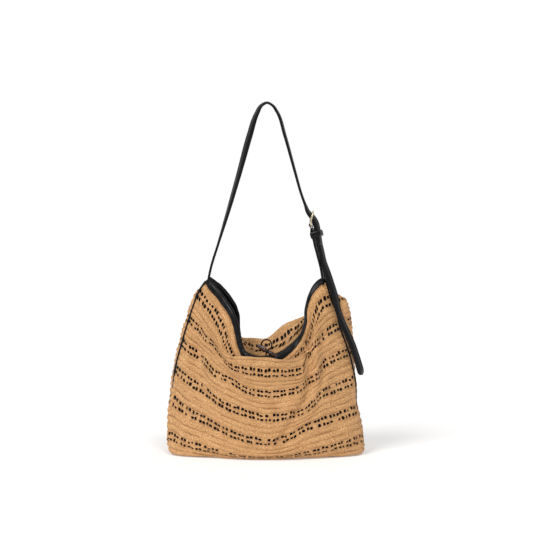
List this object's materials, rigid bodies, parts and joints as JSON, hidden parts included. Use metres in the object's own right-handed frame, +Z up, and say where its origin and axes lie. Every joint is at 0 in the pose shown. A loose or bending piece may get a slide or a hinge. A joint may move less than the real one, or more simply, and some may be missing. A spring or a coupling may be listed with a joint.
{
  "type": "hobo bag",
  "caption": "Slouchy crochet hobo bag with a sagging leather-bound mouth, a toggle closure and a long buckled shoulder strap.",
  "frame": {"origin": "on the floor under the middle of the oval base", "axes": "+Z up, +X towards the buckle end of the bag, the front panel faces -Y"},
  "size_m": [0.3917, 0.1598, 0.716],
  "materials": {
    "crochet": "coarse straw crochet",
    "leather": "smooth semi-gloss",
    "lining": "plain cotton",
    "board": "matte",
    "metal": "polished pale gold",
    "horn": "polished"
  },
  "bodies": {
    "bag": {"base_panel": "crochet", "base_board": "board", "front_panel": "crochet", "back_panel": "crochet", "lining": "lining", "slip_pocket": "lining", "front_mouth_binding": "leather", "back_mouth_binding": "leather", "left_seam_piping": "leather", "right_seam_piping": "leather", "left_strap_anchor": "leather", "right_strap_anchor": "leather", "toggle_tab": "leather", "loop_tab": "leather"},
    "strap": {"long_strap": "leather", "buckle_strap": "leather", "buckle_frame": "metal"},
    "prong": {"buckle_prong": "metal"},
    "keeper": {"keeper_loop": "leather"},
    "tail": {"strap_tail": "leather"},
    "toggle": {"toggle": "horn", "toggle_cord": "leather"},
    "loop": {"closure_loop": "leather"}
  },
  "joints": [
    {"name": "strap_swing", "type": "hinge", "parent": "bag", "child": "strap", "pos_m": [0, 0, 0.373], "axis": [1, 0, 0], "range_deg": [-100, 100]},
    {"name": "prong_swing", "type": "hinge", "parent": "strap", "child": "prong", "pos_m": [0.08953, 0, 0.46506], "axis": [0, 1, 0], "range_deg": [0, 15]},
    {"name": "keeper_slide", "type": "slide", "parent": "strap", "child": "keeper", "axis": [-0.2419, 0, 0.9703], "range_m": [-0.012, 0.008]},
    {"name": "tail_swing", "type": "hinge", "parent": "strap", "child": "tail", "pos_m": [0.10556, 0, 0.42061], "axis": [0, 1, 0], "range_deg": [-60, 0]},
    {"name": "toggle_swing", "type": "hinge", "parent": "bag", "child": "toggle", "pos_m": [-0.002, -0.04841, 0.198], "axis": [1, 0, 0], "range_deg": [-100, 0]},
    {"name": "loop_swing", "type": "hinge", "parent": "bag", "child": "loop", "pos_m": [0, 0.04087, 0.226], "axis": [1, 0, 0], "range_deg": [-25, 0]}
  ]
}
